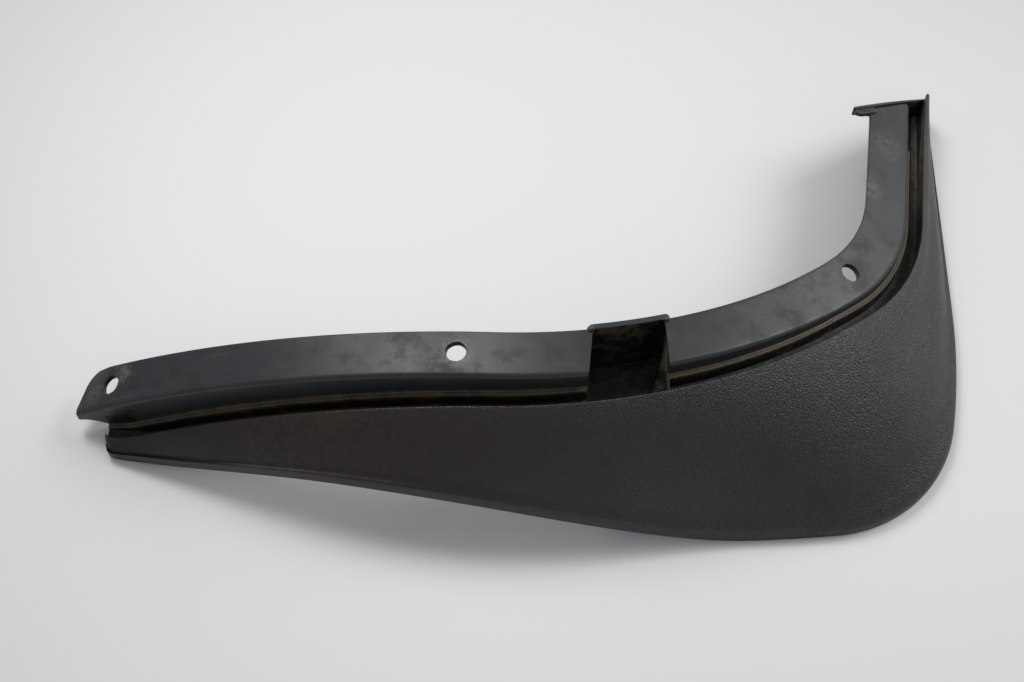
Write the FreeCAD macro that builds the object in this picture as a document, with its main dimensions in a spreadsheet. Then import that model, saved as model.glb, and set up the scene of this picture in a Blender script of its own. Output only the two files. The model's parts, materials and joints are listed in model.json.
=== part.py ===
import FreeCAD, Part
import math
import os

# A moulded car mudguard, lying with its open side down as it would on a bench.
# A flange with three screw holes follows the wheel arch. It folds down into a
# channel that takes the edge of the fender, and the channel's outer wall rises
# to a ridge from which the show face slopes out to a rolled rim.

# Driving sizes, in millimetres and degrees.
SIZES = {
    "wall": 2.5,
    "arch_radius": 380.0,
    "arch_height": 66.0,
    "arch_start": 196.0,
    "flange_width": 18.0,
    "flange_heading": -3.5,
    "left_run": 176.0,
    "flap_bend_radius": 218.0,
    "flap_bend_angle": 43.0,
    "arm_bend_radius": 86.0,
    "arm_bend_angle": 40.0,
    "arm_run": 86.0,
    "fold_radius": 2.0,
    "ledge_across": 2.0,
    "ledge_width": 2.0,
    "ledge_drop": 2.5,
    "slot_width": 5.4,
    "slot_depth": 10.0,
    "ridge_radius": 1.5,
    "ridge_drop": 16.5,
    "ridge_level_at": 322.0,
    "ridge_min_height": 7.0,
    "floor_gap": 1.0,
    "rim_start_across": 13.5,
    "rim_end_across": 13.2,
    "rim_heading": -12.2,
    "belly_radius": 666.0,
    "belly_angle": 17.2,
    "corner_radius": 62.0,
    "corner_angle": 71.0,
    "side_radius": 292.0,
    "side_angle": 11.2,
    "rim_rise": 24.0,
    "rim_rise_start": 12.0,
    "rim_rise_length": 267.0,
    "rim_lip": 3.0,
    "crown": 0.05,
    "hole_diameter": 8.0,
    "hole_inset": 8.8,
    "left_hole_at": 15.0,
    "middle_hole_at": 162.0,
    "right_hole_at": 346.0,
    "pocket_at": 230.0,
    "pocket_length": 32.0,
    "pocket_depth": 30.0,
    "pocket_rim_rise": 1.2,
    "tip_cut_back": 13.0,
    "tongue_depth": 5.0,
    "tongue_root_depth": 12.5,
    "end_at": 470.0,
    "end_slant": 38.0,
    "end_wall_depth": 18.0,
    "end_wall_rise": 0.4,
    "tab_reach": 8.8,
    "tab_width": 4.5,
}

SHEET = "sizes"
NODE = "mudguard"
RIDGE_POWER = 0.75
RISE_POWER = 1.5
SHOW_STEPS = (0.0, 0.25, 0.5, 0.75, 0.94, 1.0)
ROUND_STEPS = (0.0, 0.5, 1.0)
RUN_PIECES = (9, 6, 6, 6)
CLEAR = 40.0


class PlanPath:
    """A plan line of straight runs and tangent arcs, measured along its length."""

    def __init__(self, start, heading, runs):
        self.parts = []
        self.length = 0.0
        point = start
        angle = math.radians(heading)
        for length, turn in runs:
            bend = math.radians(turn)
            self.parts.append((self.length, length, point, angle, bend))
            point, angle = self.step(length, length, point, angle, bend)
            self.length += length

    @staticmethod
    def step(distance, length, point, angle, bend):
        """The place and heading a distance along one run."""
        x, y = point
        if bend == 0:
            return (x + distance * math.cos(angle), y + distance * math.sin(angle)), angle
        radius = length / bend
        turned = angle + distance / radius
        along = radius * (math.sin(turned) - math.sin(angle))
        aside = radius * (math.cos(angle) - math.cos(turned))
        return (x + along, y + aside), turned

    def at(self, distance):
        """The place and heading a distance along the whole line."""
        found = self.parts[0]
        for part in self.parts:
            if part[0] <= distance:
                found = part
        begin, length, point, angle, bend = found
        return self.step(distance - begin, length, point, angle, bend)

    def point(self, distance, across=0.0):
        """The place a distance along the line and a distance out to its right."""
        (x, y), angle = self.at(distance)
        return x + across * math.sin(angle), y - across * math.cos(angle)


def arc_run(radius, angle):
    """One arc of a plan line: its length and its turn."""
    return radius * math.radians(angle), angle


def even_marks(first, last, pieces):
    """Evenly spaced distances from first to last."""
    return [first + (last - first) * step / pieces for step in range(pieces + 1)]


def soft_max(first, second, blend):
    """The larger of two values, rounded over where they are close."""
    gap = first - second
    return (first + second + math.sqrt(gap * gap + blend * blend)) / 2


class Moulding:
    """The rules that give the mudguard's section at any place along its fold."""

    def __init__(self, sheet):
        for name in SIZES:
            setattr(self, name, float(sheet.get(name)))
        self.ridge_across = self.ledge_across + self.ledge_width + self.slot_width
        self.fold = PlanPath((-self.arch_start, 0.0), self.flange_heading, [
            (self.left_run, 0.0),
            arc_run(self.flap_bend_radius, self.flap_bend_angle),
            arc_run(self.arm_bend_radius, self.arm_bend_angle),
            (self.arm_run, 0.0),
        ])
        self.rim = self.rim_path()

    def rim_path(self):
        """The rim in plan: three arcs between two straight runs that start and end at set widths."""
        start = self.fold.point(0.0, self.rim_start_across)
        end = self.fold.point(self.fold.length, self.rim_end_across)
        arcs = [
            arc_run(self.belly_radius, self.belly_angle),
            arc_run(self.corner_radius, self.corner_angle),
            arc_run(self.side_radius, self.side_angle),
        ]
        bends = PlanPath(start, self.rim_heading, arcs)
        (x, y), last = bends.at(bends.length)
        first = math.radians(self.rim_heading)
        miss_x = end[0] - x
        miss_y = end[1] - y
        swing = math.sin(last - first)
        lead = (miss_x * math.sin(last) - miss_y * math.cos(last)) / swing
        tail = (miss_y * math.cos(first) - miss_x * math.sin(first)) / swing
        return PlanPath(start, self.rim_heading, [(lead, 0.0), *arcs, (tail + CLEAR, 0.0)])

    def arch(self, x):
        """Height of the flange's top face, on a wheel arch whose crown is at x = 0."""
        return self.arch_height - self.arch_radius + math.sqrt(self.arch_radius ** 2 - x ** 2)

    def top(self, along, across):
        """Height of the flange's face, or of its run-on, at one place."""
        return self.arch(self.fold.point(along, across)[0])

    def rim_height(self, along, across):
        """Height of the rim's lower edge, which lifts off the table along the left run."""
        x = self.fold.point(along, across)[0] + self.arch_start - self.rim_rise_start
        share = x / self.rim_rise_length
        if share <= 0.0 or share >= 1.0:
            return 0.0
        return self.rim_rise * math.sin(math.pi * share) ** RISE_POWER

    def rim_across(self, along):
        """Distance from the fold out to the rim, square to the fold."""
        (x, y), angle = self.fold.at(along)
        low = -self.rim_start_across
        high = self.rim.length
        while high - low > 1e-6:
            middle = (low + high) / 2
            rim_x, rim_y = self.rim.point(middle)
            if (rim_x - x) * math.cos(angle) + (rim_y - y) * math.sin(angle) > 0:
                high = middle
            else:
                low = middle
        return (rim_x - x) * math.sin(angle) - (rim_y - y) * math.cos(angle)

    def ridge_top(self, along):
        """Height of the ridge, which drops below the flange towards the left tip."""
        share = max(0.0, 1.0 - along / self.ridge_level_at)
        sunk = self.top(along, self.ridge_across) - self.ridge_drop * share ** RIDGE_POWER
        foot = self.rim_height(along, self.rim_across(along))
        return soft_max(sunk, foot + self.ridge_min_height, self.wall)

    def slot_floor(self, along):
        """Height of the slot's floor, kept clear of the table by its wall and a gap."""
        return soft_max(self.ridge_top(along) - self.slot_depth, self.floor_gap + self.wall, self.wall / 4)

    def place(self, along, across, height):
        """A point of the section at one station, in space."""
        x, y = self.fold.point(along, across)
        return FreeCAD.Vector(x, y, height)

    def stations(self):
        """Distances along the fold where sections stand, closer in the bends."""
        marks = [self.tip_cut_back]
        for (begin, length, _, _, _), pieces in zip(self.fold.parts, RUN_PIECES):
            marks += even_marks(marks[-1], begin + length, pieces)[1:]
        return marks


def spline(points, steps):
    """An edge through points, with fixed steps so that all stations match."""
    curve = Part.BSplineCurve()
    curve.interpolate(Points=points, Parameters=list(steps))
    return curve.toShape()


def line(start, end):
    """A straight edge."""
    return Part.LineSegment(start, end).toShape()


def show_line(mould, along):
    """Show face in section: from the ridge out to the top of the rim's lip, with a crown."""
    across = mould.rim_across(along)
    foot = mould.rim_height(along, across)
    ridge = mould.ridge_top(along)
    start = (mould.ridge_across + mould.ridge_radius, ridge)
    lip = min(mould.rim_lip, (ridge - foot) / 3)
    end = (across, foot + lip)
    run = end[0] - start[0]
    fall = end[1] - start[1]
    points = []
    for step in SHOW_STEPS:
        bulge = 4 * mould.crown * step * (1 - step)
        points.append((start[0] + run * step - fall * bulge, start[1] + fall * step + run * bulge))
    return points, foot


def inset_line(mould, outer, foot):
    """The show face's inner side, one wall behind it, from the ridge down to the rim's inner edge."""
    rim_in = outer[-1][0] - mould.wall
    inset = []
    for number, (across, height) in enumerate(outer):
        before = outer[max(number - 1, 0)]
        after = outer[min(number + 1, len(outer) - 1)]
        run = after[0] - before[0]
        fall = after[1] - before[1]
        size = math.hypot(run, fall)
        point = (across + mould.wall * fall / size, height - mould.wall * run / size)
        if point[0] >= rim_in:
            last = inset[-1]
            share = (rim_in - last[0]) / (point[0] - last[0])
            inset.append((rim_in, max(last[1] + (point[1] - last[1]) * share, foot + mould.wall / 4)))
            break
        inset.append(point)
    inset.append((rim_in, foot))
    return inset


def inner_line(mould, outer, foot, floor):
    """Inner side of the show face, from the rim up to where the slot's wall joins it."""
    limit = mould.ridge_across + mould.wall
    upwards = inset_line(mould, outer, foot)[::-1]
    kept = upwards[:1]
    for across, height in upwards[1:]:
        last = kept[-1]
        shares = [1.0]
        if height > floor > last[1]:
            meets = last[0] + (across - last[0]) * (floor - last[1]) / (height - last[1])
            if meets < limit:
                shares.append((floor - last[1]) / (height - last[1]))
        if across < limit < last[0]:
            shares.append((limit - last[0]) / (across - last[0]))
        share = min(shares)
        kept.append((last[0] + (across - last[0]) * share, last[1] + (height - last[1]) * share))
        if share < 1.0:
            break
    return kept


def resample(points, count):
    """Points at even distances along a broken line."""
    lengths = [0.0]
    for first, second in zip(points, points[1:]):
        lengths.append(lengths[-1] + math.dist(first, second))
    even = []
    for number in range(count):
        wanted = lengths[-1] * number / (count - 1)
        span = max(index for index, value in enumerate(lengths[:-1]) if value <= wanted + 1e-9)
        share = (wanted - lengths[span]) / (lengths[span + 1] - lengths[span])
        first, second = points[span], points[span + 1]
        even.append(tuple(a + (b - a) * share for a, b in zip(first, second)))
    return even


def section_wire(mould, along):
    """The closed section of the moulding, one wall thick all the way from flange to rim."""
    def spot(across, height):
        return mould.place(along, across, height)

    def below(across, depth):
        return spot(across, mould.top(along, across) - depth)

    wall = mould.wall
    ridge = mould.ridge_top(along)
    floor = mould.slot_floor(along)
    ledge = soft_max(ridge - mould.ledge_drop, floor + wall / 2, wall / 4)
    foot_in = mould.ledge_across
    foot_out = foot_in + mould.ledge_width
    flange_in = -mould.flange_width
    bend = mould.fold_radius
    round_over = mould.ridge_radius
    ridge_in = mould.ridge_across
    turn = math.sqrt(0.5)

    outer, foot = show_line(mould, along)
    under = floor - wall
    inner = inner_line(mould, outer, foot, under)
    joint = inner[-1]

    fold_start = below(0.0, 0.0)
    fold_middle = below(bend * turn, bend * (1 - turn))
    fold_end = below(bend, bend)
    crest_start = spot(ridge_in, ridge - round_over)
    crest_middle = spot(ridge_in + round_over * (1 - turn), ridge - round_over * (1 - turn))
    crest_end = spot(*outer[0])
    rim_low = spot(outer[-1][0], foot)
    rim_in = spot(*inner[0])
    inner_points = [spot(*point) for point in resample(inner, len(SHOW_STEPS))]
    even_steps = [number / (len(SHOW_STEPS) - 1) for number in range(len(SHOW_STEPS))]

    corners = [
        spot(*joint),
        spot(joint[0] - wall / 2, under),
        spot(foot_out - wall, under),
        spot(foot_out - wall, min(ledge - wall, below(0.0, wall * 2).z)),
        spot(foot_in - wall, min(ledge - wall, below(0.0, wall * 2).z)),
        below(foot_in - wall, wall),
        below(flange_in, wall),
        below(flange_in, 0.0),
        fold_start,
    ]
    edges = [line(first, second) for first, second in zip(corners, corners[1:])]
    edges.append(spline([fold_start, fold_middle, fold_end], ROUND_STEPS))
    channel = [
        fold_end,
        spot(foot_in, ledge),
        spot(foot_out, ledge),
        spot(foot_out, floor),
        spot(ridge_in, floor),
        crest_start,
    ]
    edges += [line(first, second) for first, second in zip(channel, channel[1:])]
    edges.append(spline([crest_start, crest_middle, crest_end], ROUND_STEPS))
    edges.append(spline([spot(*point) for point in outer], SHOW_STEPS))
    edges.append(line(spot(*outer[-1]), rim_low))
    edges.append(line(rim_low, rim_in))
    edges.append(spline(inner_points, even_steps))
    return Part.Wire(edges)


def polygon(points):
    """A closed wire through points."""
    return Part.makePolygon(points + points[:1])


def pocket_block_wire(mould, along):
    """Outside of the pocket in section, ending inside the walls that it joins."""
    wall = mould.wall
    back_out = -mould.flange_width - wall * 0.6
    back_in = -mould.flange_width + wall * 0.6
    brace = mould.ledge_across - wall / 2
    post = mould.ledge_across + mould.ledge_width - wall / 2
    front = mould.ridge_across + wall * 0.9
    ledge = mould.ridge_top(along) - mould.ledge_drop - wall / 2
    floor = mould.slot_floor(along) - wall / 2
    base = mould.top(along, 0.0) - mould.pocket_depth - wall
    rim = mould.top(along, back_out) + mould.pocket_rim_rise
    outline = [
        (back_out, rim),
        (back_in, rim),
        (back_in, mould.top(along, back_in) - wall / 2),
        (brace, mould.top(along, brace) - wall / 2),
        (brace, ledge),
        (post, ledge),
        (post, floor),
        (front, floor),
        (front, base),
        (back_out, base),
    ]
    return polygon([mould.place(along, across, height) for across, height in outline])


def pocket_hollow_wire(mould, along):
    """Inside of the pocket in section, open at the top and towards the slot."""
    back = -mould.flange_width + mould.wall * 0.4
    front = mould.ridge_across + mould.wall * 0.1
    base = mould.top(along, 0.0) - mould.pocket_depth
    sky = mould.arch_height + CLEAR
    outline = [(back, sky), (front, sky), (front, base), (back, base)]
    return polygon([mould.place(along, across, height) for across, height in outline])


def end_frame(mould):
    """The slanted end of the arm: a point on it, the way along it and the way out of it."""
    (x, y), angle = mould.fold.at(mould.end_at)
    slant = angle - math.pi / 2 + math.radians(mould.end_slant)
    along = FreeCAD.Vector(math.cos(slant), math.sin(slant), 0)
    return FreeCAD.Vector(x, y, 0), along, FreeCAD.Vector(-along.y, along.x, 0)


def end_wall_solid(mould):
    """The upright wall that closes the channel at the end of the arm."""
    origin, along, outward = end_frame(mould)
    stretch = 1 / math.cos(math.radians(mould.end_slant))
    tip = (-mould.flange_width - mould.tab_reach) * stretch
    last = (mould.ridge_across + mould.wall * 0.7) * stretch
    tops = []
    for distance in (tip, 0.0, last):
        place = origin + along * distance
        tops.append(place + FreeCAD.Vector(0, 0, mould.arch(place.x) + mould.end_wall_rise))
    feet = []
    for point, depth in zip(tops, (mould.wall * 2, mould.end_wall_depth, mould.end_wall_depth)):
        feet.append(FreeCAD.Vector(point.x, point.y, max(point.z - depth, mould.floor_gap)))
    face = Part.Face(polygon(tops + feet[::-1]))
    return face.extrude(outward * -mould.wall)


def tab_solid(mould):
    """The small tab that stands out from the flange at the end of the arm."""
    origin, along, outward = end_frame(mould)
    stretch = 1 / math.cos(math.radians(mould.end_slant))
    ends = []
    for across in (-mould.flange_width + mould.wall / 4, -mould.flange_width - mould.tab_reach):
        place = origin + along * (across * stretch)
        place.z = mould.arch(place.x)
        inner = place - outward * mould.tab_width
        down = FreeCAD.Vector(0, 0, -mould.wall)
        ends.append(polygon([place, inner, inner + down, place + down]))
    return Part.makeLoft(ends, True, True)


def tongue_wire(mould, along):
    """Section of the flange where it runs on past the channel at the left tip, with a slanted foot."""
    wall = mould.wall
    bend = mould.fold_radius
    turn = math.sqrt(0.5)
    share = along / mould.tip_cut_back
    reach = mould.ledge_across + (mould.ridge_across - mould.ledge_across) * 0.8 * share
    deep = mould.tongue_depth + (mould.tongue_root_depth - mould.tongue_depth) * share

    def below(across, depth):
        return mould.place(along, across, mould.top(along, across) - depth)

    fold_start = below(0.0, 0.0)
    fold_end = below(bend, bend)
    corners = [
        fold_end,
        below(reach, deep),
        below(reach - wall, deep),
        below(-wall / 4, wall),
        below(-mould.flange_width, wall),
        below(-mould.flange_width, 0.0),
        fold_start,
    ]
    edges = [line(first, second) for first, second in zip(corners, corners[1:])]
    edges.append(spline([fold_start, below(bend * turn, bend * (1 - turn)), fold_end], ROUND_STEPS))
    return Part.Wire(edges)


def make_sheet(doc):
    """The sheet of driving sizes."""
    sheet = doc.addObject("Spreadsheet::Sheet", SHEET)
    for row, (name, value) in enumerate(SIZES.items(), start=1):
        sheet.set(f"A{row}", name)
        sheet.set(f"B{row}", str(value))
        sheet.setAlias(f"B{row}", name)
    doc.recompute()
    return sheet


def add_shape(doc, name, shape):
    """A document object that holds a finished shape."""
    feature = doc.addObject("Part::Feature", name)
    feature.Shape = shape
    return feature


def add_loft(doc, name, wires):
    """A solid loft through section wires."""
    sections = [add_shape(doc, f"{name}_section", wire) for wire in wires]
    loft = doc.addObject("Part::Loft", name)
    loft.Sections = sections
    loft.Solid = True
    loft.Ruled = False
    return loft


def add_cut(doc, name, base, tool):
    """One solid taken out of another."""
    cut = doc.addObject("Part::Cut", name)
    cut.Base = base
    cut.Tool = tool
    return cut


def add_fuse(doc, name, shapes):
    """Solids joined into one."""
    fuse = doc.addObject("Part::MultiFuse", name)
    fuse.Shapes = shapes
    return fuse


def add_pocket(doc, mould, body):
    """The pocket that interrupts the flange: its walls joined on, then its inside taken out."""
    half = mould.pocket_length / 2
    outer = even_marks(mould.pocket_at - half - mould.wall, mould.pocket_at + half + mould.wall, 3)
    inner = even_marks(mould.pocket_at - half, mould.pocket_at + half, 3)
    block = add_loft(doc, "pocket_block", [pocket_block_wire(mould, mark) for mark in outer])
    hollow = add_loft(doc, "pocket_hollow", [pocket_hollow_wire(mould, mark) for mark in inner])
    walled = add_fuse(doc, "with_pocket_walls", [body, block])
    return add_cut(doc, "with_pocket", walled, hollow)


def add_ends(doc, mould, body):
    """The slanted arm end with its wall and tab, the left tongue and the level underside."""
    origin, along, _ = end_frame(mould)
    end_cut = doc.addObject("Part::Box", "end_cut")
    end_cut.setExpression("Length", f"{SHEET}.arch_start * 2")
    end_cut.setExpression("Width", f"{SHEET}.arch_start")
    end_cut.setExpression("Height", f"{SHEET}.arch_height * 3")
    corner = origin - along * mould.arch_start + FreeCAD.Vector(0, 0, -mould.arch_height)
    turn = math.degrees(math.atan2(along.y, along.x))
    end_cut.Placement = FreeCAD.Placement(corner, FreeCAD.Rotation(FreeCAD.Vector(0, 0, 1), turn))
    trimmed = add_cut(doc, "arm_trimmed", body, end_cut)
    tongue_marks = even_marks(0.0, mould.tip_cut_back, 3)
    tongue = add_loft(doc, "tongue", [tongue_wire(mould, mark) for mark in tongue_marks])
    end_wall = add_shape(doc, "end_wall", end_wall_solid(mould))
    tab = add_shape(doc, "tab", tab_solid(mould))
    closed = add_fuse(doc, "end_closed", [trimmed, tongue, end_wall, tab])
    table = doc.addObject("Part::Box", "below_table")
    table.setExpression("Length", f"{SHEET}.arch_start * 4")
    table.setExpression("Width", f"{SHEET}.arch_start * 4")
    table.setExpression("Height", f"{SHEET}.arch_height")
    table.Placement.Base = FreeCAD.Vector(-mould.arch_start * 2, -mould.arch_start * 2, -mould.arch_height)
    return add_cut(doc, "level", closed, table)


def hole_frame(mould, along):
    """Where a screw hole meets the flange's top face, and the way square to that face."""
    x, y = mould.fold.point(along, -mould.hole_inset)
    height = mould.arch(x)
    outward = FreeCAD.Vector(x, 0, height - mould.arch_height + mould.arch_radius)
    return FreeCAD.Vector(x, y, height), outward.normalize()


def add_holes(doc, mould, body):
    """Three screw holes, each square to the flange where it stands."""
    drills = []
    for name in ("left_hole", "middle_hole", "right_hole"):
        place, outward = hole_frame(mould, getattr(mould, f"{name}_at"))
        drill = doc.addObject("Part::Cylinder", name)
        drill.setExpression("Radius", f"{SHEET}.hole_diameter / 2")
        drill.setExpression("Height", f"{SHEET}.wall * 4")
        turn = FreeCAD.Rotation(FreeCAD.Vector(0, 0, 1), outward)
        drill.Placement = FreeCAD.Placement(place - outward * (mould.wall * 2), turn)
        drills.append(drill)
    return add_cut(doc, "drilled", body, add_fuse(doc, "drills", drills))


def check(doc):
    """Stops if any object of the document failed."""
    for thing in doc.Objects:
        if "Invalid" in thing.State or "Error" in thing.State:
            raise RuntimeError(f"{thing.Name} failed: {thing.State}")


def main():
    """Builds the document and writes the solid."""
    doc = FreeCAD.newDocument("mudguard")
    mould = Moulding(make_sheet(doc))
    body = add_loft(doc, "moulding", [section_wire(mould, mark) for mark in mould.stations()])
    body = add_pocket(doc, mould, body)
    body = add_ends(doc, mould, body)
    body = add_holes(doc, mould, body)
    doc.recompute()
    check(doc)
    part = add_shape(doc, NODE, body.Shape.copy())
    box = body.Shape.optimalBoundingBox()
    part.Placement.Base = FreeCAD.Vector(-box.Center.x, -box.Center.y, -box.ZMin)
    part.Label = NODE
    doc.recompute()
    check(doc)
    shape = part.Shape
    if shape.isNull() or not shape.isValid() or len(shape.Solids) != 1:
        raise RuntimeError(f"{NODE} is not one valid solid")
    os.makedirs("parts", exist_ok=True)
    shape.exportStep(f"parts/{part.Label}.step")
    print(NODE, "volume", round(shape.Volume), "box", shape.optimalBoundingBox())


main()
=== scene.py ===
"""Looks of a moulded black plastic car mudguard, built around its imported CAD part."""

import json
import logging
import math
from dataclasses import dataclass
from enum import Enum

import bmesh
import bpy
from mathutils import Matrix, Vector


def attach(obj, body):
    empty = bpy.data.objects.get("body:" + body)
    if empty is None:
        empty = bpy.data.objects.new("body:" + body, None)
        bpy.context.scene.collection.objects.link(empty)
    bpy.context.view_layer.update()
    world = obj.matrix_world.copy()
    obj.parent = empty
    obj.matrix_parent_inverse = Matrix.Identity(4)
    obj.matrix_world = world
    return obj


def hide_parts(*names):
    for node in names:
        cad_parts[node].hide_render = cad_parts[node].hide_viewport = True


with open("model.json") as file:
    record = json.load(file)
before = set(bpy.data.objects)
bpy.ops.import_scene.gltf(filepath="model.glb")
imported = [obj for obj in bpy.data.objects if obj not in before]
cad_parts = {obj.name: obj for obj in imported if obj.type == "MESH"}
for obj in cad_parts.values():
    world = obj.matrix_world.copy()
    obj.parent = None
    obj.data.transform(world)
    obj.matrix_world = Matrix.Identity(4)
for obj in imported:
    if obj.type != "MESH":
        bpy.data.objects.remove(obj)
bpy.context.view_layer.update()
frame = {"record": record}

NODE = "mudguard"
SLOT = "black_plastic"
BODY = "root"
STRIP_MAP = "strip"

SOLVE_LIMIT = 1e-8
CORNER_SHARE = 0.45
LIP_SHARE = 0.65
FULL_ROUND = 1.0

log = logging.getLogger("mudguard")

Pair = tuple[float, float]
Ring = list[tuple[Vector, Pair]]
Colour = tuple[float, float, float, float]


@dataclass(frozen=True)
class Sizes:
    """Driving sizes of the moulding, in metres and degrees."""

    # Flange, on the arc of a wheel arch
    wall: float = 0.0025
    arch_radius: float = 0.380
    arch_height: float = 0.066
    arch_start: float = 0.196
    flange_width: float = 0.018
    flange_heading: float = -3.5
    left_run: float = 0.176
    flap_bend_radius: float = 0.218
    flap_bend_angle: float = 43.0
    arm_bend_radius: float = 0.086
    arm_bend_angle: float = 40.0
    arm_run: float = 0.086
    fold_radius: float = 0.002

    # Ledge, slot and ridge beside the fold
    ledge_across: float = 0.002
    ledge_width: float = 0.002
    ledge_drop: float = 0.0025
    slot_width: float = 0.0054
    slot_depth: float = 0.010
    floor_gap: float = 0.001
    ridge_radius: float = 0.0015
    ridge_drop: float = 0.0165
    ridge_level_at: float = 0.322
    ridge_min_height: float = 0.007
    ridge_power: float = 0.75

    # Rim, in plan and in height
    rim_start_across: float = 0.0135
    rim_heading: float = -12.2
    rim_run: float = 0.122
    belly_radius: float = 0.666
    belly_angle: float = 17.2
    corner_radius: float = 0.062
    corner_angle: float = 71.0
    side_radius: float = 0.292
    side_angle: float = 11.2
    side_run: float = 0.170
    rim_inset: float = 0.0001
    rim_rise: float = 0.024
    rim_rise_start: float = 0.012
    rim_rise_length: float = 0.267
    rise_power: float = 1.5
    rim_lip: float = 0.003
    rim_roll: float = 0.0075
    rim_roll_lips: float = 2.2

    # Show face, with its valley at the corner
    crown: float = 0.05
    valley_from: float = 0.315
    valley_length: float = 0.130
    valley_depth: float = 0.0022
    valley_share: float = 0.6

    # Screw holes
    hole_radius: float = 0.004
    hole_inset: float = 0.0088
    holes_at: tuple[float, float, float] = (0.015, 0.162, 0.346)

    # Pocket
    pocket_at: float = 0.230
    pocket_length: float = 0.032
    pocket_depth: float = 0.030
    pocket_lean: float = 13.5
    pocket_round: float = 0.002
    pocket_rim_rise: float = 0.0012
    pocket_rim_half: float = 0.0015
    pocket_rim_round: float = 0.0009
    pocket_back_skin: float = 0.001
    pocket_front_wall: float = 0.00225
    pocket_front_bite: float = 0.00025
    web_foot: float = 0.009
    web_drop: float = 0.0075

    # Left tip
    tip_cut_back: float = 0.013
    tongue_end: float = 0.026
    tongue_depth: float = 0.005
    tongue_slant: float = 12.0
    tongue_round_in: float = 0.006
    tongue_round_out: float = 0.0018
    strip_round: float = 0.0045

    # Arm's end
    end_at: float = 0.470
    end_slant: float = 38.0
    end_ease: float = 0.060
    end_wall_depth: float = 0.018
    end_lip: float = 0.0013
    end_groove: float = 0.0008
    end_rise: float = 0.0004
    end_peak: float = 0.0008
    point_rise: float = 0.0055
    point_run: float = 0.030
    ledge_stop: float = 0.026
    flange_round: float = 0.004
    tab_reach: float = 0.0088
    tab_width: float = 0.0045

    # Edges and mesh
    edge_round: float = 0.0006
    sharp_angle: float = 38.0
    station_gap: float = 0.0014


class Zone(Enum):
    """Stretches of the section, as whole numbers on the strip map's second axis."""

    FLANGE = 1
    WALL = 2
    LEDGE = 3
    SLOT_SIDE = 4
    SLOT_FLOOR = 5
    RIDGE_SIDE = 6
    SHOW = 7
    LIP = 8
    UNDER = 9
    POCKET = 12
    END = 13

    def at(self, share: float) -> float:
        """Strip map value at a share of the stretch."""
        return self.value + share

    @property
    def begin(self) -> float:
        """Strip map value just inside the stretch's start."""
        return self.at(0.1)

    @property
    def middle(self) -> float:
        """Strip map value halfway along the stretch."""
        return self.at(0.5)

    @property
    def end(self) -> float:
        """Strip map value just inside the stretch's end."""
        return self.at(0.9)


class PlanPath:
    """A plan line of straight runs and tangent arcs, measured along its length."""

    def __init__(self, start: Pair, heading: float, runs: list[Pair]) -> None:
        """Lays the runs end to end.

        Args:
            start: Where the line begins.
            heading: First direction, in degrees from +X.
            runs: Length and turn in degrees of each run; no turn is a straight run.
        """
        self.parts: list[tuple[float, float, Pair, float, float]] = []
        self.length = 0.0
        point = start
        angle = math.radians(heading)
        for length, turn in runs:
            bend = math.radians(turn)
            self.parts.append((self.length, length, point, angle, bend))
            point, angle = self.step(length, length, point, angle, bend)
            self.length += length

    @staticmethod
    def step(distance: float, length: float, point: Pair, angle: float,
             bend: float) -> tuple[Pair, float]:
        """Walks along one run.

        Args:
            distance: How far to walk.
            length: The run's length.
            point: The run's start.
            angle: Heading at the start, in radians.
            bend: The run's whole turn, in radians.

        Returns:
            The place reached and the heading there.
        """
        x, y = point
        if bend == 0:
            return (x + distance * math.cos(angle), y + distance * math.sin(angle)), angle
        radius = length / bend
        turned = angle + distance / radius
        along = radius * (math.sin(turned) - math.sin(angle))
        aside = radius * (math.cos(angle) - math.cos(turned))
        return (x + along, y + aside), turned

    def at(self, distance: float) -> tuple[Pair, float]:
        """Place and heading a distance along the whole line."""
        found = self.parts[0]
        for part in self.parts:
            if part[0] <= distance:
                found = part
        begin, length, point, angle, bend = found
        return self.step(distance - begin, length, point, angle, bend)

    def point(self, distance: float, across: float = 0.0) -> Pair:
        """Place a distance along the line and a distance out to its right."""
        (x, y), angle = self.at(distance)
        return x + across * math.sin(angle), y - across * math.cos(angle)


def arc_run(radius: float, angle: float) -> Pair:
    """Length and turn of one arc of a plan line."""
    return radius * math.radians(angle), angle


def soft_max(first: float, second: float, blend: float) -> float:
    """The larger of two values, rounded over where they are close."""
    gap = first - second
    return (first + second + math.sqrt(gap * gap + blend * blend)) / 2


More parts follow.
